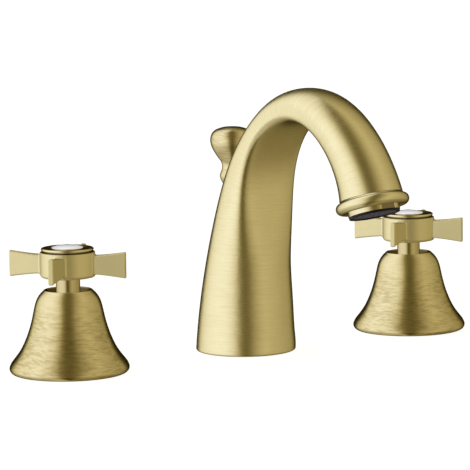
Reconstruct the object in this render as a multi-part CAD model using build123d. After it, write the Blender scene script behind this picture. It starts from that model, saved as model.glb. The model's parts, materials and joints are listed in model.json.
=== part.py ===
from build123d import *
import math
import os

import numpy as np

# Widespread bathroom mixer: two cross-handled valves either side of an arched spout, standing on a deck.
# Millimetres. Origin: centre of the spout's foot on the deck. +X right, +Z up, the spout points to -Y.

# ---- driving dimensions -------------------------------------------------------------------------
HOLE_PITCH = 100.0          # spout axis to each valve axis
DECK = 20.0                 # thickness of the deck that the fittings clamp
FIT = 0.05                  # radial running or assembly clearance

# Spout skin: one row per station along the centreline, from the foot to the outlet.
# (y, z, half width, half depth) of an oval section square to the centreline.
SPOUT_STATIONS = (
    (0.0, 0.0, 24.0, 24.0),
    (-2.0, 32.0, 21.9, 20.6),
    (-6.1, 63.0, 19.0, 15.5),
    (-13.0, 88.5, 16.8, 10.4),
    (-26.0, 108.0, 15.7, 7.4),
    (-44.0, 120.0, 14.6, 7.6),
    (-64.7, 120.0, 13.9, 7.8),
    (-85.2, 107.2, 13.7, 9.9),
    (-99.8, 82.6, 14.6, 14.6),
)
SPOUT_WALL = 2.0
FLAT_EXPONENT = 4.8         # squareness of the arch's underside; 2 is an ellipse
SECTION_POINTS = 28
SPOUT_SECTIONS = 25
FOOT_BORE = 20.5
FOOT_DEPTH = 14.0
FOOT_ROUND = 1.0

# Lift rod of the pop-up waste, behind the spout.
ROD_Y = 9.4
ROD_R = 2.0
ROD_BOTTOM = -101.0
KNOB_BOTTOM = 79.0
KNOB_TOP = 107.0

# Valve, from the deck up.
SHANK_R = 14.0
SHANK_TOP = 22.0
SHANK_BOTTOM = -58.0
INLET_R = 10.48             # G1/2 over the thread
INLET_LENGTH = 16.0
INLET_BORE = 5.0
CHAMBER_R = 8.6
CHAMBER_FLOOR = 2.0
PASSAGE_R = 2.2
PASSAGE_OFFSET = 10.2
LINE_Z = -47.0              # height of the cross line below the deck
OUTLET_REACH = 27.0         # valve axis to the end of its side outlet
TEE_REACH = 24.0
SOCKET_DEPTH = 8.0
TUBE_R = 5.0
TUBE_WALL = 0.8
OUTLET_R = 8.0

BELL_TOP = 38.6
SPINDLE_R = 4.05
SPINDLE_TOP = 50.0
TRAVEL = 90.0               # quarter turn
STOP_PLAY = 1.5             # degrees left at each stop
LUG_ANGLE = 40.0

SEAL_ZS = (17.0, 22.5)      # bottoms of the spindle's two seal grooves

# Spout's inner parts.
GUIDE_R = 3.0
PLUG_TOP = 12.0
NIPPLE_R = 7.0
NIPPLE_BORE = 4.5
NIPPLE_TOP = 10.0
NIPPLE_Y = -4.0             # set forward, so that the lift rod passes behind
WATERWAY_R = 4.5
WATERWAY_START = 0.2        # stations between which the inner tube follows the spout
WATERWAY_END = 0.975
WATERWAY_SECTIONS = 16
SEAL_R = 6.0
TEE_TOP = -36.0
TEE_BACK = 5.5              # cut flat here, clear of the lift rod
AERATOR_R = 11.9            # M24 aerator
SLEEVE_R = 12.6

# Clamp at the foot of the lift rod.
CLAMP_Z = -101.0
DRAIN_Z = -105.0
DRAIN_ROD_R = 2.1
SCREW_Z = -96.0
SCREW_R = 1.5

# Handle.
NECK_R = 5.6
HUB_R = 12.8
HUB_BOTTOM = 44.4
HUB_TOP = 56.2
ARM_TIP = 27.8
ARM_Z = 50.4
ROOT_FILLET = 1.2
BUTTON_TOP = 59.6
BUTTON_DOME_R = 20.9
# (distance from the axis, width, height) along an arm
ARM_SECTIONS = ((8.5, 5.8, 8.4), (14.0, 5.0, 8.8), (21.5, 3.6, 10.4), (ARM_TIP, 2.4, 12.3))
ARM_TURN = {"hot": 41.8, "cold": 35.4}    # of the closed handles, from the row of valves

NODES = {}


# ---- helpers ------------------------------------------------------------------------------------
def ring(outer, inner, low, high):
    """A plain ring about Z."""
    body = Pos(0, 0, low) * Cylinder(outer, high - low, align=(Align.CENTER, Align.CENTER, Align.MIN))
    if inner > 0:
        body -= rod(inner, low - 1, high + 1)
    return body


def rod(radius, low, high):
    """A plain cylinder about Z from low to high."""
    return Pos(0, 0, low) * Cylinder(radius, high - low, align=(Align.CENTER, Align.CENTER, Align.MIN))


def hexagon(across_flats, low, high, turn=0.0):
    """A hexagonal prism about Z; turn 0 puts flats on +Y and -Y."""
    radius = across_flats / 2 / math.cos(math.pi / 6)
    face = Plane.XY.offset(low) * Rot(0, 0, turn) * RegularPolygon(radius, 6)
    prism = extrude(face, high - low)
    return prism & chamfer(rod(radius, low, high).edges().filter_by(GeomType.CIRCLE), 0.8)


def turned(points):
    """A solid of revolution about Z from (radius, height) corners joined by straight lines."""
    face = make_face(Polyline(*[(r, 0, z) for r, z in points], close=True))
    return revolve(face, Axis.Z)


def sector(outer, inner, low, high, start, sweep):
    """Part of a ring, sweep degrees anticlockwise from start."""
    corners = ((inner, low), (outer, low), (outer, high), (inner, high))
    face = make_face(Polyline(*[(r, 0, z) for r, z in corners], close=True))
    return Rot(0, 0, start) * revolve(face, Axis.Z, sweep)


def along_x(solid, z=0.0):
    """Turns a solid made about Z to lie along +X at height z."""
    return Pos(0, 0, z) * Rot(0, 90, 0) * solid


def add(name, *solids):
    """Stores a node, its separate solids kept apart."""
    loose = [s for item in solids for s in item.solids()]
    NODES[name] = loose[0] if len(loose) == 1 else Compound(children=loose)


# ---- spout --------------------------------------------------------------------------------------
def bends(values):
    """Second differences of the cubic spline through evenly spaced values, smooth to its ends."""
    count = len(values)
    system = 4 * np.eye(count) + np.eye(count, k=1) + np.eye(count, k=-1)
    system[0, :3] = system[-1, -3:] = (1, -2, 1)
    right = np.zeros_like(values)
    right[1:-1] = 6 * (values[:-2] - 2 * values[1:-1] + values[2:])
    return np.linalg.solve(system, right)


STATIONS = np.array(SPOUT_STATIONS)
STATION_BENDS = bends(STATIONS)


def station(t):
    """Row (y, z, half width, half depth) at t from 0 at the foot to 1 at the outlet, and its slope."""
    place = t * (len(STATIONS) - 1)
    i = min(int(place), len(STATIONS) - 2)
    f = place - i
    low, high = STATIONS[i], STATIONS[i + 1]
    bend_low, bend_high = STATION_BENDS[i], STATION_BENDS[i + 1]
    row = low * (1 - f) + high * f + ((1 - f) ** 3 - (1 - f)) * bend_low / 6 + (f**3 - f) * bend_high / 6
    slope = high - low - (3 * (1 - f) ** 2 - 1) * bend_low / 6 + (3 * f**2 - 1) * bend_high / 6
    return row, slope


def station_plane(t):
    """Plane square to the centreline, level at the foot: x to the right, y to the outside of the arch."""
    row, slope = station(t)
    lean = slope[0] * min(1.0, 10 * t)
    return Plane(origin=(0, row[0], row[1]), x_dir=(1, 0, 0), z_dir=(0, lean, slope[1]))


def eased(x):
    """0 to 1 with level ends."""
    x = min(max(x, 0.0), 1.0)
    return x * x * (3 - 2 * x)


def oval(half_width, half_depth, exponent):
    """Closed outline: half an ellipse on the outside of the arch, a squarer half on the inside."""
    points = []
    for i in range(SECTION_POINTS):
        angle = 2 * math.pi * i / SECTION_POINTS
        c, s = math.cos(angle), math.sin(angle)
        n = 2.0 if s > 0 else exponent
        scale = (abs(c) ** n + abs(s) ** n) ** (-1 / n)
        points.append((half_width * c * scale, half_depth * s * scale))
    knots = [i / SECTION_POINTS for i in range(SECTION_POINTS + 1)]
    return Edge.make_spline(points, periodic=True, parameters=knots)


def spout_skin(inset):
    """The spout's outer shape, or the same shape inset by a wall thickness."""
    faces = []
    for i in range(SPOUT_SECTIONS):
        t = i / (SPOUT_SECTIONS - 1)
        row, _ = station(t)
        blend = eased((t - 0.15) / 0.3) * eased((1 - t) / 0.35)
        exponent = 2 + (FLAT_EXPONENT - 2) * blend
        faces.append(station_plane(t) * make_face(oval(row[2] - inset, row[3] - inset, exponent)))
    return loft(faces)


def spout_body():
    skin = spout_skin(0.0)
    skin -= spout_skin(SPOUT_WALL)
    skin -= rod(FOOT_BORE, -1, FOOT_DEPTH)
    skin -= station_plane(1.0).location * rod(SLEEVE_R + 0.03, -6.45, 1)
    skin -= Pos(0, ROD_Y, 0) * rod(GUIDE_R + 0.02, 30, 80)
    foot_edges = [e for e in skin.edges() if e.bounding_box().max.Z < 0.01 and e.length > 140]
    return fillet(foot_edges, FOOT_ROUND)


def spout_foot():
    """The parts in the foot: screwed plug, its gasket, the tube's seal and the guide for the rod."""
    forward = Pos(0, NIPPLE_Y, 0)
    rod_hole = Pos(0, ROD_Y, 0) * rod(ROD_R + 0.3, -1, 20)
    plug = rod(FOOT_BORE - 0.02, 2.0, PLUG_TOP) + forward * rod(NIPPLE_R + 1.5, 2.0, PLUG_TOP + 4)
    plug -= forward * (rod(NIPPLE_R + 0.02, 1, NIPPLE_TOP) + rod(WATERWAY_R + FIT, 1, PLUG_TOP + 5))
    plug -= forward * rod(SEAL_R, PLUG_TOP + 2, PLUG_TOP + 5)
    add("spout_plug", plug - rod_hole)
    add("waterway_seal", forward * ring(SEAL_R, WATERWAY_R, PLUG_TOP + 2, PLUG_TOP + 4))
    gasket = rod(FOOT_BORE - 0.2, 0, 2.0) - forward * rod(NIPPLE_R + 0.3, -1, 3)
    add("spout_gasket", gasket - rod_hole)
    add("rod_guide", Pos(0, ROD_Y, 0) * ring(GUIDE_R, ROD_R + FIT, 50, 64))


def waterway_tube():
    """Plain inner tube that carries the water from the plug to the outlet."""
    planes = [Plane(origin=(0, NIPPLE_Y, FOOT_DEPTH + 4))]
    for i in range(WATERWAY_SECTIONS):
        t = WATERWAY_START + (WATERWAY_END - WATERWAY_START) * i / (WATERWAY_SECTIONS - 1)
        planes.append(station_plane(t))
    outer = loft([plane * Circle(WATERWAY_R) for plane in planes])
    inner = loft([plane * Circle(WATERWAY_R - TUBE_WALL) for plane in planes])
    foot = ring(WATERWAY_R, WATERWAY_R - TUBE_WALL, NIPPLE_TOP + 0.1, FOOT_DEPTH + 4)
    return Pos(0, NIPPLE_Y, 0) * foot + (outer - inner)


def outlet():
    """Collar, aerator housing, insert and gasket, made about +Z along the flow and set on the outlet."""
    place = station_plane(1.0).location
    sleeve = ring(SLEEVE_R, AERATOR_R + FIT, -5, 0.2) + ring(SLEEVE_R, WATERWAY_R + 0.6, -6.4, -5)
    bead_profile = (
        Line((AERATOR_R + FIT, 0, 0.1), (14.2, 0, 0.1)),
        Line((14.2, 0, 0.1), (14.9, 0, 0.7)),
        ThreePointArc((14.9, 0, 0.7), (16.9, 0, 3.2), (14.3, 0, 5.9)),
        Line((14.3, 0, 5.9), (AERATOR_R + FIT, 0, 5.3)),
        Line((AERATOR_R + FIT, 0, 5.3), (AERATOR_R + FIT, 0, 0.1)),
    )
    bead = revolve(make_face(Wire(bead_profile)), Axis.Z)
    add("outlet_collar", place * (sleeve + bead))
    housing = ring(AERATOR_R, AERATOR_R - 1.4, -4, 7.6)
    for turn in (0, 180):
        housing -= Rot(0, 0, turn) * Pos(0, AERATOR_R, 6.6) * Box(7.6, 2.2, 2.4)
    add("aerator_housing", place * housing)
    insert = rod(AERATOR_R - 1.45, -3.5, 8.0) + ring(AERATOR_R - 0.2, AERATOR_R - 1.5, 7.65, 8.6)
    for radius, count in ((2.6, 6), (5.4, 12), (8.1, 18)):
        holes = PolarLocations(radius, count) * Cylinder(0.75, 30)
        insert -= holes
    add("aerator_insert", place * insert)
    add("aerator_gasket", place * ring(AERATOR_R - 0.1, 8.0, -5.0, -4.0))


def lift_rod():
    """Knob, rod and clamp of the pop-up waste; they slide up and down together."""
    head = ((4.9, 88.0), (6.6, 91.9), (8.9, 95.5), (10.35, 99.4), (10.2, 102.4), (8.6, 105.0), (5.6, 106.4),
            (0.0, KNOB_TOP))
    knob_profile = (
        Line((0, 0, KNOB_BOTTOM), (4.2, 0, KNOB_BOTTOM)),
        Spline((4.2, 0, KNOB_BOTTOM), (6.05, 0, 83.6), (4.9, 0, 88.0), tangents=((0.6, 0, 1), (0, 0, 1))),
        Spline(*[(r, 0, z) for r, z in head], tangents=((0, 0, 1), (-1, 0, 0))),
        Line((0, 0, KNOB_TOP), (0, 0, KNOB_BOTTOM)),
    )
    knob = revolve(make_face(Wire(knob_profile)), Axis.Z)
    knob -= rod(ROD_R + 0.02, KNOB_BOTTOM - 1, KNOB_BOTTOM + 8.2)
    add("lift_knob", Pos(0, ROD_Y, 0) * knob)
    shaft = rod(ROD_R, ROD_BOTTOM, KNOB_BOTTOM + 8)
    add("lift_rod", Pos(0, ROD_Y, 0) * chamfer(shaft.edges().filter_by(GeomType.CIRCLE), 0.3))
    block = fillet(Box(14, 12, 18).edges().filter_by(Axis.Z), 2)
    block = Pos(0, 0, CLAMP_Z) * block
    block -= rod(ROD_R + 0.03, CLAMP_Z - 0.1, CLAMP_Z + 10)
    block -= Pos(0, 0, DRAIN_Z) * Rot(0, 90, 0) * Cylinder(DRAIN_ROD_R, 20)
    block -= rod(SCREW_R, DRAIN_Z - 12, DRAIN_Z)
    block -= Pos(0, 4, SCREW_Z) * Rot(-90, 0, 0) * Cylinder(SCREW_R, 10)
    add("rod_clamp", Pos(0, ROD_Y, 0) * block)
    screw = rod(SCREW_R - 0.02, 0, 7) + knurled_head()
    upper = Pos(0, ROD_R + 0.05, SCREW_Z) * Rot(-90, 0, 0) * screw
    lower = Pos(0, 0, DRAIN_Z - DRAIN_ROD_R - 0.15) * Rot(180, 0, 0) * screw
    add("clamp_screws", Pos(0, ROD_Y, 0) * upper, Pos(0, ROD_Y, 0) * lower)


def knurled_head():
    """Thumbscrew head with notches round its rim."""
    head = rod(4.0, 7, 11)
    return head - PolarLocations(4.1, 12) * (Pos(0, 0, 9) * Cylinder(0.5, 6))


def under_deck():
    """What holds the spout down and joins the two valves below the deck."""
    nipple = ring(NIPPLE_R, NIPPLE_BORE, TEE_TOP - 8, NIPPLE_TOP)
    for z in range(-34, -20, 2):
        nipple -= ring(NIPPLE_R + 1, NIPPLE_R - 0.4, z, z + 0.8)
    add("spout_nipple", Pos(0, NIPPLE_Y, 0) * nipple)
    forward = Pos(0, NIPPLE_Y, 0)
    slot = forward * (Pos(0, 17, -DECK - 2.5) * Box(2 * NIPPLE_R + 1, 34, 12) + rod(NIPPLE_R + 0.5, -40, 0))
    add("spout_deck_washer", ring(24, 1, -DECK - 2, -DECK) - slot)
    add("spout_clamp_plate", ring(23, 1, -DECK - 4.5, -DECK - 2) - slot)
    add("spout_nut", forward * (hexagon(19, -DECK - 13, -DECK - 4.5) - rod(NIPPLE_R + FIT, -60, 0)))
    tee = Pos(0, NIPPLE_Y, LINE_Z) * Box(22, 20, 22)
    tee += along_x(Pos(0, 0, -TEE_REACH) * rod(OUTLET_R, 0, 2 * TEE_REACH), LINE_Z)
    tee -= Pos(0, TEE_BACK + 10, LINE_Z) * Box(22, 20, 30)
    tee -= along_x(Pos(0, 0, -TEE_REACH - 1) * rod(4, 0, 2 * TEE_REACH + 2), LINE_Z)
    tee -= forward * (rod(NIPPLE_R + FIT, TEE_TOP - 8, TEE_TOP + 1) + rod(NIPPLE_BORE, LINE_Z, TEE_TOP))
    for side in (-1, 1):
        socket = along_x(rod(TUBE_R + FIT, TEE_REACH - SOCKET_DEPTH, TEE_REACH + 1), LINE_Z)
        tee -= socket.rotate(Axis.Z, 90 - 90 * side)
    add("mixing_tee", tee)
    start = TEE_REACH - SOCKET_DEPTH
    end = HOLE_PITCH - OUTLET_REACH + SOCKET_DEPTH
    link = along_x(ring(TUBE_R, TUBE_R - TUBE_WALL, start, end), LINE_Z)
    add("cold_link_tube", link)
    add("hot_link_tube", link.rotate(Axis.Z, 180))
    nut = compression_nut()
    olive = turned(((TUBE_R + 0.02, 0), (7.4, 0), (7.4, 1.0), (TUBE_R + 0.6, 2.6), (TUBE_R + 0.02, 2.6)))
    nuts, olives = [], []
    for turn in (0, 180):
        for x, flip in ((TEE_REACH, 0), (HOLE_PITCH - OUTLET_REACH, 180)):
            for part, kept in ((nut, nuts), (olive, olives)):
                kept.append(Rot(0, 0, turn) * Pos(x, 0, LINE_Z) * Rot(0, 0, flip) * Rot(0, 90, 0) * part)
    add("compression_nuts", *nuts)
    add("olives", *olives)


def compression_nut():
    """Nut about +Z whose thread covers z -7 to 0 and whose small bore holds the tube."""
    nut = hexagon(19, -7, 7)
    nut -= rod(OUTLET_R + FIT, -8, 1.2)
    nut -= turned(((0, 1.0), (OUTLET_R + FIT, 1.0), (OUTLET_R + FIT, 1.3), (TUBE_R + 0.8, 3.2), (0, 3.2)))
    return nut - rod(TUBE_R + 0.1, 0, 8)


# ---- valves -------------------------------------------------------------------------------------
def bell():
    """Escutcheon: a bell-shaped shell with a rolled rim, a dished top and a screwed collar inside."""
    flank = ((27.5, 3.4), (25.9, 6.0), (22.9, 10.0), (20.3, 15.0), (18.4, 20.0), (17.0, 25.0),
             (15.9, 30.0), (14.7, 34.0), (13.1, 36.6), (11.5, 38.2))
    inside = ((12.0, 34.4), (13.4, 31.6), (14.8, 27.0), (16.4, 21.0), (18.4, 15.5), (21.0, 10.5), (24.0, 6.0))
    outline = [
        Line((24.4, 0, 0), (26.2, 0, 0)),
        ThreePointArc((26.2, 0, 0), (27.7, 0, 1.5), (27.5, 0, 3.4)),
        Spline(*[(r, 0, z) for r, z in flank], tangents=((-0.35, 0, 1), (-0.75, 0, 0.65))),
        ThreePointArc((11.5, 0, 38.2), (10.9, 0, BELL_TOP), (10.3, 0, 38.2)),
        Line((10.3, 0, 38.2), (9.9, 0, 36.0)),
        Line((9.9, 0, 36.0), (NECK_R + 0.6, 0, 36.0)),
        Line((NECK_R + 0.6, 0, 36.0), (NECK_R + 0.6, 0, 34.4)),
        Line((NECK_R + 0.6, 0, 34.4), (12.0, 0, 34.4)),
        Spline(*[(r, 0, z) for r, z in inside]),
        Line((24.0, 0, 6.0), (24.4, 0, 0)),
    ]
    shell = revolve(make_face(Wire(outline)), Axis.Z)
    return shell + ring(18.6, SHANK_R + FIT, 14.5, 17.5)


def valve_body():
    """Brass valve body: threaded shank, inlet, two passages, cartridge chamber and a side outlet to +X."""
    body = rod(SHANK_R, SHANK_BOTTOM, SHANK_TOP) + rod(INLET_R, SHANK_BOTTOM - INLET_LENGTH, SHANK_BOTTOM)
    body += along_x(rod(OUTLET_R, 0, OUTLET_REACH), LINE_Z)
    body -= rod(INLET_BORE, SHANK_BOTTOM - INLET_LENGTH - 1, CHAMBER_FLOOR + 1)
    body -= rod(CHAMBER_R, CHAMBER_FLOOR, SHANK_TOP + 1)
    body -= Pos(PASSAGE_OFFSET, 0, 0) * rod(PASSAGE_R, LINE_Z, CHAMBER_FLOOR + 1)
    body -= along_x(rod(3.2, PASSAGE_OFFSET - 1.5, OUTLET_REACH + 1), LINE_Z)
    body -= along_x(rod(TUBE_R + FIT, OUTLET_REACH - SOCKET_DEPTH, OUTLET_REACH + 1), LINE_Z)
    for z in range(-40, -24, 2):
        body -= ring(SHANK_R + 1, SHANK_R - 0.5, z, z + 0.9)
    return body


def cartridge_housing(sense):
    """Screwed-in housing: hexagon above, windows below, and a stop ring that the spindle's lug runs in."""
    housing = rod(7.9, 2.6, 13.0) + rod(CHAMBER_R - FIT, 13.0, SHANK_TOP)
    housing -= ring(CHAMBER_R + 1, 7.5, 13.4, 14.9)
    housing += hexagon(22, SHANK_TOP, 27) + rod(7.0, 27, 30.5)
    housing -= rod(7.0, 2, 13.2)
    housing -= rod(SPINDLE_R + FIT, 10, 31)
    housing -= Pos(0, 0, 7.6) * Box(20, 6, 2.8)
    free = TRAVEL + LUG_ANGLE + 2 * STOP_PLAY
    start = LUG_ANGLE / 2 + TRAVEL + STOP_PLAY
    stop = sector(7.2, 5.4, 11.2, 13.4, start, 360 - free)
    if sense < 0:
        stop = stop.mirror(Plane.XZ)
    return housing + stop


def spindle():
    """Stem with a drive flange and tang below, a stop lug, two seal grooves and a grip for the handle."""
    stem = rod(SPINDLE_R, 9.0, 32.2) + rod(4.0, 32.2, SPINDLE_TOP)
    stem += rod(6.93, 8.6, 10.9)
    stem += sector(6.7, 3.0, 10.9, 13.0, -LUG_ANGLE / 2, LUG_ANGLE)
    stem += Pos(0, 0, 8.1) * Box(11.0, 2.3, 1.4)
    for z in SEAL_ZS:
        stem -= ring(SPINDLE_R + 1, 3.1, z, z + 1.8)
    stem -= ring(SPINDLE_R + 1, 3.4, 30.65, 31.75)
    return stem - rod(1.95, 38, SPINDLE_TOP + 1)


def discs():
    """Ceramic pair: two round ports in each, in line only after a quarter turn."""
    fixed = rod(6.95, 3.2, 5.4) - PolarLocations(4.2, 2) * (Pos(0, 0, 4) * Cylinder(1.9, 10))
    moving = rod(6.93, 5.42, 8.6) - PolarLocations(4.2, 2, start_angle=90) * (Pos(0, 0, 5) * Cylinder(1.9, 4.6))
    moving -= Pos(0, 0, 8.1) * Box(11.1, 2.4, 1.6)
    return fixed, moving


def cross_handle(start):
    """Hub with four blade-like arms, the first turned by start, hollowed on top for the index."""
    hub = rod(HUB_R, HUB_BOTTOM, HUB_TOP)
    for quarter in range(4):
        hub += Rot(0, 0, start + 90 * quarter) * arm()
    joints = [e for e in hub.edges() if is_root(e)]
    hub = fillet(joints, ROOT_FILLET)
    rims = [e for e in hub.edges().filter_by(GeomType.CIRCLE) if abs(e.radius - HUB_R) < 0.01]
    hub = fillet([e for e in rims if e.center().Z < ARM_Z], 1.6)
    hub = chamfer([e for e in hub.edges().filter_by(GeomType.CIRCLE) if e.center().Z > HUB_TOP - 0.01], 0.25)
    hub -= rod(11.0, 52.0, HUB_TOP + 1) + rod(5.02, HUB_BOTTOM - 1, 50.0) + rod(2.2, 49, 53)
    return hub


def is_root(edge):
    """True on an edge where an arm meets the hub's wall."""
    box = edge.bounding_box()
    inside = box.min.Z > HUB_BOTTOM + 0.5 and box.max.Z < HUB_TOP - 0.5
    middle = edge.position_at(0.5)
    return inside and abs(math.hypot(middle.X, middle.Y) - HUB_R) < 0.05


def arm():
    """One arm along +X: it grows taller and thinner towards a softened end."""
    faces = []
    for distance, width, height in ARM_SECTIONS:
        plane = Plane(origin=(distance, 0, ARM_Z), x_dir=(0, 1, 0), z_dir=(1, 0, 0))
        faces.append(plane * RectangleRounded(width, height, 0.8))
    blank = loft(faces)
    tip = blank.faces().sort_by(Axis.X)[-1]
    return chamfer(tip.edges(), 0.4)


def handle_trim(side):
    """Everything that turns with the handle, above the spindle."""
    neck = ring(NECK_R, 4.02, 32.4, HUB_BOTTOM) + ring(5.0, 4.02, HUB_BOTTOM, 50.0)
    screw = rod(3.8, 52.0, 54.4) + rod(1.9, 40.0, 52.0) - Pos(0, 0, 54) * Box(1.0, 9, 1.6)
    index_profile = (
        Line((7.3, 0, 58.1), (7.3, 0, 52.8)),
        Line((7.3, 0, 52.8), (10.8, 0, 52.8)),
        Line((10.8, 0, 52.8), (10.8, 0, 56.3)),
        Line((10.8, 0, 56.3), (11.4, 0, 56.3)),
        Line((11.4, 0, 56.3), (11.4, 0, 56.9)),
        ThreePointArc((11.4, 0, 56.9), (12.2, 0, 57.5), (11.6, 0, 58.1)),
        Spline((11.6, 0, 58.1), (9.4, 0, 57.5), (7.3, 0, 58.1), tangents=((-1, 0, 0), (-0.8, 0, 0.6))),
    )
    index = revolve(make_face(Wire(index_profile)), Axis.Z)
    button = rod(7.25, 54.8, BUTTON_TOP) & (Pos(0, 0, BUTTON_TOP - BUTTON_DOME_R) * Sphere(BUTTON_DOME_R))
    add(f"{side}_neck_sleeve", VALVE_AT[side] * neck)
    add(f"{side}_handle", VALVE_AT[side] * cross_handle(ARM_TURN[side]))
    add(f"{side}_handle_screw", VALVE_AT[side] * screw)
    add(f"{side}_index_ring", VALVE_AT[side] * index)
    add(f"{side}_index_button", VALVE_AT[side] * button)


VALVE_AT = {"hot": Pos(-HOLE_PITCH, 0, 0), "cold": Pos(HOLE_PITCH, 0, 0)}
SENSE = {"hot": 1, "cold": -1}


def valve(side):
    """One valve with its cartridge and escutcheon."""
    at = VALVE_AT[side]
    towards_spout = at * Rot(0, 0, 0 if side == "hot" else 180)
    fixed, moving = discs()
    add(f"{side}_escutcheon", at * bell())
    add(f"{side}_valve_body", towards_spout * valve_body())
    add(f"{side}_cartridge_housing", at * cartridge_housing(SENSE[side]))
    add(f"{side}_housing_seal", at * ring(CHAMBER_R - 0.01, 7.52, 13.45, 14.85))
    add(f"{side}_seat_seal", at * ring(6.9, INLET_BORE + 0.1, CHAMBER_FLOOR, 3.2))
    add(f"{side}_fixed_disc", at * fixed)
    add(f"{side}_moving_disc", at * moving)
    add(f"{side}_spindle", at * spindle())
    add(f"{side}_spindle_seals", *[at * ring(SPINDLE_R, 3.12, z + 0.1, z + 1.7) for z in SEAL_ZS])
    circlip = ring(5.4, 3.42, 30.7, 31.7) - Pos(5, 0, 31.2) * Box(8, 3.4, 3)
    add(f"{side}_circlip", at * circlip)


def valve_fixings():
    """Nuts and washers that are the same on both valves, one node per kind."""
    top_nut = ring(20, SHANK_R + FIT, 1.5, 7) - PolarLocations(20, 6) * (Pos(0, 0, 4) * Box(4, 5, 12))
    kinds = {
        "top_washers": ring(20, SHANK_R + 0.1, 0, 1.5),
        "top_locknuts": top_nut,
        "escutcheon_seals": ring(24.2, 22.2, 0, 1.2),
        "deck_washers": ring(22, SHANK_R + 0.1, -DECK - 2, -DECK),
        "steel_washers": ring(21, SHANK_R + 0.1, -DECK - 3.5, -DECK - 2),
        "deck_nuts": hexagon(36, -DECK - 13.5, -DECK - 3.5) - rod(SHANK_R + FIT, -60, 0),
    }
    for name, piece in kinds.items():
        add(name, *[at * piece for at in VALVE_AT.values()])


def main():
    os.makedirs("parts", exist_ok=True)
    add("spout_body", spout_body())
    spout_foot()
    add("waterway_tube", waterway_tube())
    outlet()
    lift_rod()
    under_deck()
    for side in VALVE_AT:
        valve(side)
        handle_trim(side)
    valve_fixings()
    for name, shape in NODES.items():
        export_step(shape, f"parts/{name}.step")


if __name__ == "__main__":
    main()
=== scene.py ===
import json
import math
from collections import namedtuple

import bpy
from mathutils import Matrix, Vector


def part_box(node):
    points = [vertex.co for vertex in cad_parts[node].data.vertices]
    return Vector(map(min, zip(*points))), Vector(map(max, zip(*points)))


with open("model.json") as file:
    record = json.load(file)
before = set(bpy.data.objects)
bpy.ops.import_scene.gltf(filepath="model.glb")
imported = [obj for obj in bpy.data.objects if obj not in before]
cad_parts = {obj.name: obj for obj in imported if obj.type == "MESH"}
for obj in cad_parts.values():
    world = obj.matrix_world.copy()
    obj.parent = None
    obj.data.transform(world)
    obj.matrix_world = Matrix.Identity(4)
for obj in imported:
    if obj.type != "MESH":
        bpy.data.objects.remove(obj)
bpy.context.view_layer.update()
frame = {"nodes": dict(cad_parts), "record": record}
mounts = {row["name"]: row for row in frame["record"]["mounts"]}

# ---- camera -------------------------------------------------------------------------------------
CAMERA_AZIMUTH = math.radians(35.006)      # to the left of the spout's front
CAMERA_ELEVATION = math.radians(7.385)
CAMERA_ROLL = math.radians(0.7586)
CAMERA_DISTANCE = 1.47113
CAMERA_TARGET = Vector((-0.005512, 0.0, 0.055869))
SENSOR = 36.0
LENS = 235.46


def make_camera():
    sin_a, cos_a = math.sin(CAMERA_AZIMUTH), math.cos(CAMERA_AZIMUTH)
    sin_e, cos_e = math.sin(CAMERA_ELEVATION), math.cos(CAMERA_ELEVATION)
    sin_r, cos_r = math.sin(CAMERA_ROLL), math.cos(CAMERA_ROLL)
    back = Vector((-sin_a * cos_e, -cos_a * cos_e, sin_e))
    right = Vector((cos_a, -sin_a, 0.0))
    up = back.cross(right)
    side = right * cos_r - up * sin_r
    top = right * sin_r + up * cos_r
    place = CAMERA_TARGET + back * CAMERA_DISTANCE
    data = bpy.data.cameras.new("camera")
    data.sensor_width = SENSOR
    data.lens = LENS
    data.clip_start = 0.05
    data.clip_end = 20.0
    camera = bpy.data.objects.new("camera", data)
    camera.matrix_world = Matrix((
        (side.x, top.x, back.x, place.x),
        (side.y, top.y, back.y, place.y),
        (side.z, top.z, back.z, place.z),
        (0.0, 0.0, 0.0, 1.0),
    ))
    bpy.context.scene.collection.objects.link(camera)
    bpy.context.scene.camera = camera


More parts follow.
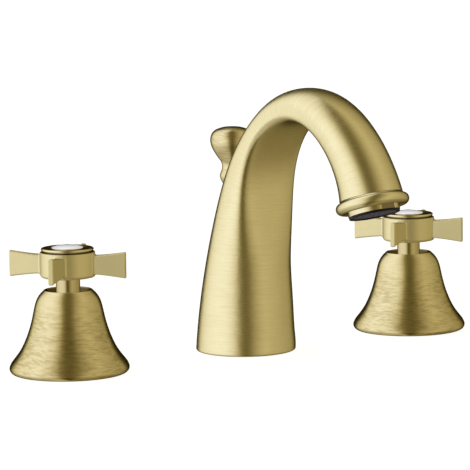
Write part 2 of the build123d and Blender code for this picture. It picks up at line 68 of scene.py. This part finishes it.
# ---- node helpers -------------------------------------------------------------------------------
class Nodes:
    """A node tree with short calls for the nodes used here."""

    def __init__(self, tree):
        self.tree = tree
        self.tree.nodes.clear()

    def new(self, kind, **values):
        node = self.tree.nodes.new(kind)
        for key, value in values.items():
            setattr(node, key, value)
        return node

    def put(self, socket, value):
        if isinstance(value, bpy.types.NodeSocket):
            self.tree.links.new(value, socket)
        else:
            socket.default_value = value

    def math(self, operation, *values, clamp=False):
        node = self.new("ShaderNodeMath", operation=operation, use_clamp=clamp)
        for socket, value in zip(node.inputs, values):
            self.put(socket, value)
        return node.outputs[0]

    def vector(self, operation, *values):
        node = self.new("ShaderNodeVectorMath", operation=operation)
        for socket, value in zip(node.inputs, values):
            self.put(socket, value)
        return node.outputs["Value"] if operation in ("DOT_PRODUCT", "LENGTH") else node.outputs[0]

    def combine(self, x, y, z):
        node = self.new("ShaderNodeCombineXYZ")
        for socket, value in zip(node.inputs, (x, y, z)):
            self.put(socket, value)
        return node.outputs[0]

    def separate(self, vector):
        node = self.new("ShaderNodeSeparateXYZ")
        self.put(node.inputs[0], vector)
        return node.outputs

    def step(self, value, low, high, to_low=0.0, to_high=1.0):
        """Smooth step of value from low to high; low above high turns it round."""
        if low > high:
            low, high, to_low, to_high = high, low, to_high, to_low
        node = self.new("ShaderNodeMapRange", interpolation_type="SMOOTHSTEP")
        for key, item in (("Value", value), ("From Min", low), ("From Max", high),
                          ("To Min", to_low), ("To Max", to_high)):
            self.put(node.inputs[key], item)
        return node.outputs["Result"]

    def mix(self, factor, a, b):
        node = self.new("ShaderNodeMix", data_type="RGBA")
        self.put(node.inputs["Factor"], factor)
        self.put(node.inputs[6], a)
        self.put(node.inputs[7], b)
        return node.outputs[2]

    def noise(self, vector, scale, detail=2.0, roughness=0.5):
        node = self.new("ShaderNodeTexNoise")
        self.put(node.inputs["Vector"], vector)
        node.inputs["Scale"].default_value = scale
        node.inputs["Detail"].default_value = detail
        node.inputs["Roughness"].default_value = roughness
        return node.outputs["Fac"]

    def bump(self, height, strength, distance):
        node = self.new("ShaderNodeBump")
        node.inputs["Strength"].default_value = strength
        node.inputs["Distance"].default_value = distance
        self.put(node.inputs["Height"], height)
        return node.outputs[0]

    def place(self):
        """Position on the piece, which at rest is the position in the shared frame."""
        return self.new("ShaderNodeTexCoord").outputs["Object"]


# ---- light --------------------------------------------------------------------------------------
# Colour of the room by direction, in degrees round from the camera: minus to its left, plus to its right.
ROOM = (
    (-180, (0.53, 0.530, 0.520)),
    (-150, (0.74, 0.770, 0.810)),
    (-110, (0.93, 0.980, 1.110)),
    (-75, (1.00, 1.070, 1.270)),           # cool white panel on the left
    (-45, (0.97, 1.030, 1.180)),
    (-29, (0.82, 0.835, 0.860)),
    (-20, (0.58, 0.560, 0.450)),
    (-12, (0.25, 0.225, 0.120)),
    (-4, (0.140, 0.120, 0.055)),           # dark gap at the camera
    (5, (0.140, 0.120, 0.055)),
    (12, (0.20, 0.175, 0.085)),
    (22, (0.36, 0.325, 0.205)),
    (34, (0.49, 0.450, 0.310)),
    (47, (0.56, 0.520, 0.370)),            # weaker, warmer panel on the right
    (62, (0.52, 0.480, 0.335)),
    (80, (0.47, 0.435, 0.295)),
    (105, (0.41, 0.380, 0.250)),
    (150, (0.40, 0.375, 0.250)),
    (180, (0.45, 0.450, 0.400)),
)
LEAN = 0.70                                # how far the gap carries on overhead
BELOW = (0.55, 0.520, 0.420, 1)            # dims what is seen downwards
BELOW_EDGE = (-0.20, -0.75)                # heights of the direction where that starts and ends
BEHIND = (0.050, 0.042, 0.020, 1)          # darkness straight behind the object
BEHIND_EDGE = (-0.66, -0.92)               # how far away from the camera it starts and is full
WHITE = (1, 1, 1, 1)

FLOOR_REACH = 3.0
FLOOR_DROP = 0.0002                        # keeps the floor clear of the feet
FLOOR_GLOW = 0.90
FLOOR_COLOUR = (0.34, 0.33, 0.31, 1)


def room_colour(n):
    """Studio round the object: a broad panel either side of the camera and a dark gap between."""
    direction = n.new("ShaderNodeTexCoord").outputs["Generated"]
    sin_a, cos_a = math.sin(CAMERA_AZIMUTH), math.cos(CAMERA_AZIMUTH)
    ahead = n.vector("DOT_PRODUCT", direction, (-sin_a, -cos_a, 0))
    across = n.vector("DOT_PRODUCT", direction, (cos_a, -sin_a, 0))
    height = n.separate(direction)[2]
    lifted = n.math("MULTIPLY_ADD", n.math("MAXIMUM", height, 0.0), LEAN, ahead)
    turn = n.math("ARCTAN2", across, lifted)
    ramp = n.new("ShaderNodeValToRGB")
    n.put(ramp.inputs["Fac"], n.math("MULTIPLY_ADD", turn, 0.5 / math.pi, 0.5))
    stops = ramp.color_ramp.elements
    while len(stops) < len(ROOM):
        stops.new(0.5)
    for stop, (degrees, colour) in zip(stops, ROOM):
        stop.position = degrees / 360 + 0.5
        stop.color = (*colour, 1)
    dimming = n.mix(n.step(height, *BELOW_EDGE), WHITE, BELOW)
    lit = n.vector("MULTIPLY", ramp.outputs["Color"], dimming)
    return n.mix(n.step(ahead, *BEHIND_EDGE), lit, BEHIND)


def make_world():
    """The room lights the object, and the camera sees plain white."""
    world = bpy.data.worlds.new("studio")
    bpy.context.scene.world = world
    world.use_nodes = True
    n = Nodes(world.node_tree)
    studio = n.new("ShaderNodeBackground")
    n.put(studio.inputs["Color"], room_colour(n))
    backdrop = n.new("ShaderNodeBackground")
    n.put(backdrop.inputs["Color"], WHITE)
    choice = n.new("ShaderNodeMixShader")
    n.put(choice.inputs[0], n.new("ShaderNodeLightPath").outputs["Is Camera Ray"])
    n.put(choice.inputs[1], studio.outputs[0])
    n.put(choice.inputs[2], backdrop.outputs[0])
    n.put(n.new("ShaderNodeOutputWorld").inputs["Surface"], choice.outputs[0])
    bpy.context.scene.view_settings.view_transform = "Standard"


def make_floor():
    """Pale deck just below the feet, seen by the camera and by nothing else."""
    mesh = bpy.data.meshes.new("floor")
    corners = [(-FLOOR_REACH, -FLOOR_REACH, 0), (FLOOR_REACH, -FLOOR_REACH, 0),
               (FLOOR_REACH, FLOOR_REACH, 0), (-FLOOR_REACH, FLOOR_REACH, 0)]
    mesh.from_pydata(corners, [], [(0, 1, 2, 3)])
    floor = bpy.data.objects.new("floor", mesh)
    floor.location.z = -FLOOR_DROP
    bpy.context.scene.collection.objects.link(floor)
    material = bpy.data.materials.new("floor")
    material.use_nodes = True
    n = Nodes(material.node_tree)
    glow = n.new("ShaderNodeEmission")
    glow.inputs["Color"].default_value = WHITE
    glow.inputs["Strength"].default_value = FLOOR_GLOW
    matt = n.new("ShaderNodeBsdfDiffuse")
    matt.inputs["Color"].default_value = FLOOR_COLOUR
    seen = n.new("ShaderNodeAddShader")
    n.put(seen.inputs[0], glow.outputs[0])
    n.put(seen.inputs[1], matt.outputs[0])
    choice = n.new("ShaderNodeMixShader")
    n.put(choice.inputs[0], n.new("ShaderNodeLightPath").outputs["Is Camera Ray"])
    n.put(choice.inputs[1], n.new("ShaderNodeBsdfTransparent").outputs[0])
    n.put(choice.inputs[2], seen.outputs[0])
    n.put(n.new("ShaderNodeOutputMaterial").inputs["Surface"], choice.outputs[0])
    mesh.materials.append(material)


# ---- colours and sizes of the materials ----------------------------------------------------------
SPOUT_GOLD = ((0.97, 0.83, 0.455), (0.82, 0.665, 0.325))     # light and dark brush marks
BELL_GOLD = ((0.90, 0.745, 0.380), (0.58, 0.440, 0.185))
KNOB_GOLD = ((0.92, 0.77, 0.41), (0.66, 0.51, 0.23))
SATIN = (0.95, 0.80, 0.435)
HANDLE_GOLD = (0.99, 0.85, 0.450)
# painted shade: a darker gold than the satin, for the shade the handle casts on the neck
NECK_GOLD_PAINTED_SHADE = (0.74, 0.59, 0.290)
SHADE = (0.12, 0.085, 0.030)               # painted shade for metal seen deep in a groove
HALF_SHADE = (0.48, 0.37, 0.200)           # and painted shade in a shallow dish
# painted shade inside the spanner notches
NOTCH_SHADE = (0.30, 0.21, 0.100)
EDGE = (0.42, 0.36, 0.22, 1)               # what the metals still reflect at a grazing angle
AERATOR_FACE = (0.150, 0.130, 0.225, 1)
AERATOR_RIM = (0.006, 0.006, 0.006, 1)
GLAZE = (0.93, 0.93, 0.96, 1)
GLAZE_PAINTED_GLOW = (0.96, 0.96, 1.0, 1)
GLAZE_PAINTED_GLOW_STRENGTH = 0.42                 # painted light: the glaze glows though it is no lamp, for light carried inside the glaze
INK = ((0.045, 0.05, 0.085, 1), (0.10, 0.11, 0.16, 1))

# Length, width and waviness of the brush marks in metres, and how dark they are.
Marks = namedtuple("Marks", "along grain wave streak")
SPOUT_MARKS = Marks(0.014, 0.0007, 0.0006, 0.22)
BELL_MARKS = Marks(0.007, 0.0014, 0.0015, 0.60)
KNOB_MARKS = Marks(0.006, 0.0010, 0.0010, 0.55)
BELL_FADE = (0.024, 0.036, 1.0, 0.2)       # from full marks at one height to faint ones above it
FINER = (1.7, 1.7, 3.1)                    # a second layer of marks, finer than the first
FINE_SHARE = 0.45
DARK_MARKS = (0.42, 0.62)                  # noise values where a mark starts to darken and is darkest
LEAST_DARK = 0.10
MOTTLE_DEPTH = 0.30
NOISE_SPAN = (0.3, 0.7)                    # most noise values lie between these

# Scales of the noises, per metre.
SWAY_SCALE = 55.0                          # slow wandering of the brush marks
MOTTLE_SCALE = 140.0                       # lighter and darker patches of marks
CLOUD_SCALE = 90.0                         # clouding of the satin metals
PLASTIC_SCALE = 1400.0
TURNED_SCALE = 900.0
INK_SCALE = 500.0
GLAZE_SCALE = 160.0

SATIN_GRAIN = 0.0020
SATIN_LIFT = 0.000004

HOLE_PITCH = mounts["cold_foot"]["pos_m"][0]        # spout axis to each valve axis
ARCH_Y = -0.055                            # middle of the spout's arch, in the plane of symmetry
ARCH_Z = 0.075
ARCH_RADIUS = 0.046                        # where the marks on the arch have their true width
OUTLET_AT = (0.0, -0.0998, 0.0826)         # middle of the spout's end
OUTLET_WAY = (0.0, -0.30132, -0.95352)     # the way the water leaves

# Where painted shade starts and is full: radii about the valve, then heights above the deck. The last,
# the aerator's rim, is its own black, not shade.
HOLLOW_RADIUS = (0.0108, 0.0102)           # hollow on top of a bell, round the neck
HOLLOW_HEIGHT = (0.0353, 0.0359)
GROOVE_RADIUS = (0.0127, 0.0123)           # groove between a hub and its index ring
GROOVE_HEIGHT = (0.05595, 0.05610)
DISH_RADIUS = (0.0112, 0.0106)             # dish round the button
RING_FOOT_HEIGHT = (0.05690, 0.05680)
NOTCH_RADIUS = (0.01178, 0.01165)          # about the outlet's axis, inside the spanner notches
FACE_RADIUS = (0.0099, 0.0104)             # from the aerator's face to its rim

MARK_RING_INNER = (0.00295, 0.00315)       # plain ring and dot on a button
MARK_RING_OUTER = (0.00385, 0.00365)
MARK_DOT = (0.00155, 0.00135)


# ---- materials ----------------------------------------------------------------------------------
def new_material(name):
    material = bpy.data.materials.new(name)
    material.use_nodes = True
    n = Nodes(material.node_tree)
    surface = n.new("ShaderNodeBsdfPrincipled")
    n.put(n.new("ShaderNodeOutputMaterial").inputs["Surface"], surface.outputs[0])
    return material, n, surface


def valve_radius(n, place):
    """Distance from the nearer valve's axis."""
    x, y = n.separate(place)[:2]
    beside = n.math("SUBTRACT", n.math("ABSOLUTE", x), HOLE_PITCH)
    return n.vector("LENGTH", n.combine(beside, y, 0.0))


def outlet_radius(n, place):
    """Distance from the outlet's axis."""
    reach = n.vector("SUBTRACT", place, OUTLET_AT)
    return n.vector("LENGTH", n.vector("CROSS_PRODUCT", reach, OUTLET_WAY))


def shade(n, surface, amount, colour):
    """Mixes colour, a painted shade, over the material's own colour by amount."""
    socket = surface.inputs["Base Color"]
    n.put(socket, n.mix(amount, socket.links[0].from_socket, (*colour, 1)))


def round_axis(n, place):
    """Lay of marks brushed round Z: two places across them, the place along the axis, the axis."""
    x, y, z = n.separate(place)
    return x, y, z, n.combine(0.0, 0.0, 1.0)


def round_arch(n, place):
    """The same for marks round the spout, whose axis bends over the arch."""
    x, y, z = n.separate(place)
    out = n.math("SUBTRACT", y, ARCH_Y)
    rise = n.math("MAXIMUM", n.math("SUBTRACT", z, ARCH_Z), 0.0)
    radius = n.math("SQRT", n.math("ADD", n.math("POWER", out, 2.0), n.math("POWER", rise, 2.0)))
    bent = n.math("MULTIPLY", n.math("ARCTAN2", rise, out), ARCH_RADIUS)
    run = n.math("ADD", bent, n.math("MINIMUM", z, ARCH_Z))
    return x, radius, run, n.combine(0.0, n.math("MULTIPLY", rise, -1.0), out)


def brushed(name, gold, marks, lay, roughness, anisotropy, fade=None):
    """Gold with brush marks that follow lay and may fade with height."""
    material, n, surface = new_material(name)
    place = n.place()
    side, out, run, axis = lay(n, place)
    n.put(surface.inputs["Tangent"], axis)
    sway = n.math("SUBTRACT", n.noise(place, SWAY_SCALE, 1.0), 0.5)
    run = n.math("MULTIPLY_ADD", sway, marks.wave * 2, run)
    cells = n.combine(n.math("DIVIDE", side, marks.along), n.math("DIVIDE", out, marks.along),
                      n.math("DIVIDE", run, marks.grain))
    coarse = n.noise(cells, 1.0, 2.0, 0.6)
    fine = n.noise(n.vector("MULTIPLY", cells, FINER), 1.0, 1.0)
    both = n.math("MULTIPLY_ADD", fine, FINE_SHARE, n.math("MULTIPLY", coarse, 1 - FINE_SHARE))
    mottle = n.math("SUBTRACT", n.noise(place, MOTTLE_SCALE), 0.5)
    dark = n.math("MULTIPLY_ADD", n.step(both, *DARK_MARKS), marks.streak, LEAST_DARK)
    dark = n.math("MULTIPLY_ADD", mottle, MOTTLE_DEPTH, dark, clamp=True)
    if fade:
        dark = n.math("MULTIPLY", dark, n.step(n.separate(place)[2], *fade))
    n.put(surface.inputs["Base Color"], n.mix(dark, (*gold[0], 1), (*gold[1], 1)))
    surface.inputs["Metallic"].default_value = 1.0
    n.put(surface.inputs["Roughness"], n.step(both, *NOISE_SPAN, roughness - 0.04, roughness + 0.05))
    surface.inputs["Anisotropic"].default_value = anisotropy
    surface.inputs["Specular Tint"].default_value = EDGE
    n.put(surface.inputs["Normal"], n.bump(both, 0.35, 0.00006))
    return material, n, surface


def bell_gold(name):
    """Brushed gold with fainter marks near the top, and painted shade in the hollow round the neck."""
    material, n, surface = brushed(name, BELL_GOLD, BELL_MARKS, round_axis, 0.16, 0.70, BELL_FADE)
    place = n.place()
    # painted shade: darker metal in the hollow round the neck, where shade falls
    inside = n.step(valve_radius(n, place), *HOLLOW_RADIUS)
    above = n.step(n.separate(place)[2], *HOLLOW_HEIGHT)
    shade(n, surface, n.math("MULTIPLY", inside, above), SHADE)
    return material


def fine_metal(name, colour, roughness, grain=SATIN_GRAIN, lift=SATIN_LIFT):
    """Metal with a fine random grain and slight clouding."""
    material, n, surface = new_material(name)
    place = n.place()
    speck = n.noise(place, 1.0 / grain, 3.0, 0.6)
    cloud = n.noise(place, CLOUD_SCALE)
    clouded = tuple(c * 0.95 for c in colour)
    n.put(surface.inputs["Base Color"], n.mix(cloud, (*colour, 1), (*clouded, 1)))
    surface.inputs["Metallic"].default_value = 1.0
    surface.inputs["Specular Tint"].default_value = EDGE
    n.put(surface.inputs["Roughness"], n.step(speck, *NOISE_SPAN, roughness - 0.01, roughness + 0.02))
    n.put(surface.inputs["Normal"], n.bump(speck, 0.3, lift))
    return material, n, surface


def handle_gold(name):
    """Satin gold with painted shade in the groove under the index ring."""
    material, n, surface = fine_metal(name, HANDLE_GOLD, 0.47)
    place = n.place()
    # painted shade: darker metal in the groove under the index ring
    inside = n.step(valve_radius(n, place), *GROOVE_RADIUS)
    above = n.step(n.separate(place)[2], *GROOVE_HEIGHT)
    shade(n, surface, n.math("MULTIPLY", inside, above), SHADE)
    return material


def ring_gold(name):
    """Satin gold lip round a dish with painted shade, over a foot painted dark as shade in the groove."""
    material, n, surface = fine_metal(name, SATIN, 0.18)
    place = n.place()
    # painted shade: a darker dish round the button, and a dark foot in the groove below the lip
    shade(n, surface, n.step(valve_radius(n, place), *DISH_RADIUS), HALF_SHADE)
    shade(n, surface, n.step(n.separate(place)[2], *RING_FOOT_HEIGHT), SHADE)
    return material


def housing_gold(name):
    """Satin gold with painted shade inside the spanner notches."""
    material, n, surface = fine_metal(name, SATIN, 0.20)
    # painted shade: darker metal inside the spanner notches
    shade(n, surface, n.step(outlet_radius(n, n.place()), *NOTCH_RADIUS), NOTCH_SHADE)
    return material


def aerator_black(name):
    """Dark plastic face with a blacker rim."""
    material, n, surface = new_material(name)
    place = n.place()
    rim = n.step(outlet_radius(n, place), *FACE_RADIUS)
    speck = n.noise(place, PLASTIC_SCALE, 3.0, 0.6)
    n.put(surface.inputs["Base Color"], n.mix(rim, AERATOR_FACE, AERATOR_RIM))
    n.put(surface.inputs["Roughness"], n.step(speck, *NOISE_SPAN, 0.40, 0.52))
    surface.inputs["Specular IOR Level"].default_value = 0.25
    n.put(surface.inputs["Normal"], n.bump(speck, 0.25, 0.00003))
    return material


def turned_metal(name, colour, roughness, pitch):
    """Machined metal with fine turning rings about Z."""
    material, n, surface = new_material(name)
    place = n.place()
    rings = n.math("SINE", n.math("MULTIPLY", n.separate(place)[2], 2 * math.pi / pitch))
    mixed = n.math("MULTIPLY_ADD", rings, 0.25, n.noise(place, TURNED_SCALE))
    surface.inputs["Base Color"].default_value = (*colour, 1)
    surface.inputs["Metallic"].default_value = 1.0
    n.put(surface.inputs["Roughness"], n.step(mixed, 0.2, 0.9, roughness - 0.04, roughness + 0.06))
    n.put(surface.inputs["Normal"], n.bump(mixed, 0.3, 0.00004))
    return material


def plain(name, colour, roughness, grain, lift):
    """Non-metal with a slight grain."""
    material, n, surface = new_material(name)
    speck = n.noise(n.place(), 1.0 / grain, 3.0, 0.6)
    surface.inputs["Base Color"].default_value = (*colour, 1)
    n.put(surface.inputs["Roughness"], n.step(speck, *NOISE_SPAN, roughness - 0.04, roughness + 0.05))
    n.put(surface.inputs["Normal"], n.bump(speck, 0.25, lift))
    return material


def porcelain(name, node):
    """White glaze that glows with painted light, with a plain ring-and-dot mark in its middle, set from
    the button's own box.
    """
    material, n, surface = new_material(name)
    low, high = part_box(node)
    middle = ((low[0] + high[0]) / 2, (low[1] + high[1]) / 2, 0.0)
    place = n.place()
    radius = n.vector("LENGTH", n.vector("MULTIPLY", n.vector("SUBTRACT", place, middle), (1, 1, 0)))
    band = n.math("MULTIPLY", n.step(radius, *MARK_RING_INNER), n.step(radius, *MARK_RING_OUTER))
    mark = n.math("MAXIMUM", band, n.step(radius, *MARK_DOT))
    cloud = n.noise(place, INK_SCALE)
    n.put(surface.inputs["Base Color"], n.mix(mark, GLAZE, n.mix(cloud, *INK)))
    n.put(surface.inputs["Roughness"], n.step(cloud, *NOISE_SPAN, 0.10, 0.16))
    # painted light: the glaze glows though it is no lamp
    surface.inputs["Emission Color"].default_value = GLAZE_PAINTED_GLOW
    surface.inputs["Emission Strength"].default_value = GLAZE_PAINTED_GLOW_STRENGTH
    surface.inputs["Coat Weight"].default_value = 0.5
    surface.inputs["Coat Roughness"].default_value = 0.03
    n.put(surface.inputs["Normal"], n.bump(n.noise(place, GLAZE_SCALE, 1.0), 0.08, 0.0001))
    return material


# ---- dressing -----------------------------------------------------------------------------------
def give(material, *names):
    for name in names:
        for slot in frame["nodes"][name].material_slots:
            slot.material = material


def dress_by_slot():
    """One material per slot of the record; brushed gold and porcelain are left to dress_by_piece."""
    by_slot = {
        "raw_brass": turned_metal("machined_brass", (0.78, 0.60, 0.30), 0.30, 0.0006),
        "plated_steel": fine_metal("zinc_plate", (0.62, 0.62, 0.60), 0.34, 0.0012, 0.00003)[0],
        "copper": fine_metal("drawn_copper", (0.80, 0.47, 0.32), 0.28, 0.0010, 0.00003)[0],
        "rubber": plain("rubber", (0.028, 0.028, 0.03), 0.62, 0.0008, 0.00005),
        "ceramic": plain("alumina", (0.82, 0.82, 0.79), 0.28, 0.0008, 0.00002),
        "black_plastic": aerator_black("aerator_plastic"),
        "stainless": fine_metal("spring_steel", (0.66, 0.66, 0.67), 0.26, 0.0009, 0.00003)[0],
        "satin_gold": fine_metal("satin_gold", SATIN, 0.24)[0],
    }
    for row in frame["record"]["subparts"]:
        if row["material_slot"] in by_slot:
            give(by_slot[row["material_slot"]], row["node"])


def dress_by_piece():
    """The pieces with a finish of their own, with painted shade in a recess or on the neck, and the
    buttons' painted glow.
    """
    spout = brushed("spout_gold", SPOUT_GOLD, SPOUT_MARKS, round_arch, 0.25, 0.55)[0]
    give(spout, "spout_body", "outlet_collar")
    give(brushed("knob_gold", KNOB_GOLD, KNOB_MARKS, round_axis, 0.22, 0.55)[0], "lift_knob")
    give(housing_gold("housing_gold"), "aerator_housing")
    pairs = {
        "escutcheon": bell_gold("bell_gold"),
        # the neck's darker gold is painted shade from the handle above
        "neck_sleeve": fine_metal("neck_gold_painted_shade", NECK_GOLD_PAINTED_SHADE, 0.09)[0],
        "handle": handle_gold("handle_gold"),
        "index_ring": ring_gold("ring_gold"),
    }
    for side in ("hot", "cold"):
        for piece, material in pairs.items():
            give(material, f"{side}_{piece}")
        button = f"{side}_index_button"
        give(porcelain(f"{side}_porcelain", button), button)


def calm_reflections():
    """Keeps the pieces out of each other's reflections, as when spout and valves are lit one by one."""
    for piece in frame["nodes"].values():
        piece.visible_glossy = False


make_camera()
make_world()
make_floor()
dress_by_slot()
dress_by_piece()
calm_reflections()
